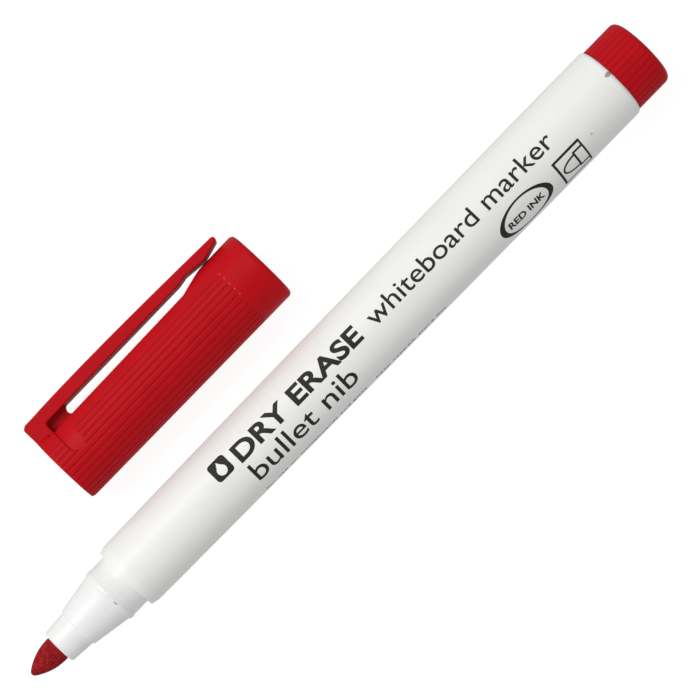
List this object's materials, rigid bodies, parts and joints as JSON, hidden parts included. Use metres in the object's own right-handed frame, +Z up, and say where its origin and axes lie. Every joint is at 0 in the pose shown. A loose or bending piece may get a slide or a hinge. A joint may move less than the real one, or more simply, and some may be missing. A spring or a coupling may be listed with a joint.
{
  "type": "whiteboard marker",
  "caption": "Bullet-tip whiteboard marker with its cap off: tapered white barrel, stepped nose, felt nib, ribbed plug, and a ribbed clip cap lying beside it.",
  "frame": {"origin": "centre of the footprint, on the surface that the pen and the cap lie on", "axes": "+X along the pen from its nib to its rear plug; +Y from the pen towards the cap and its clip; +Z up"},
  "size_m": [0.124, 0.0314, 0.012],
  "materials": {
    "barrel_plastic": "satin moulded polypropylene",
    "holder_plastic": "satin moulded polypropylene, slightly cooler white",
    "nib_felt": "ink-soaked sintered fibre",
    "ink_fibre": "ink-soaked fibre bundle",
    "film": "thin clear film",
    "red_plastic": "satin red moulded polypropylene",
    "liner_plastic": "natural moulded polyethylene"
  },
  "bodies": {
    "pen": {"barrel": "barrel_plastic", "nib_holder": "holder_plastic", "nib": "nib_felt", "reservoir_fibre": "ink_fibre", "reservoir_film": "film", "rear_plug": "red_plastic"},
    "cap": {"cap_shell": "red_plastic", "cap_liner": "liner_plastic"},
    "clip": {"cap_clip": "red_plastic"}
  },
  "joints": [
    {"name": "cap_draw", "type": "slide", "parent": "pen", "child": "cap", "axis": [-1, -0.0094, 0], "range_m": [0, 0.067]},
    {"name": "clip_flex", "type": "hinge", "parent": "cap", "child": "clip", "pos_m": [-0.03302, 0.01455, 0.006], "axis": [0, 0, 1], "range_deg": [0, 5], "stiffness_Nm_per_rad": 0.6}
  ]
}
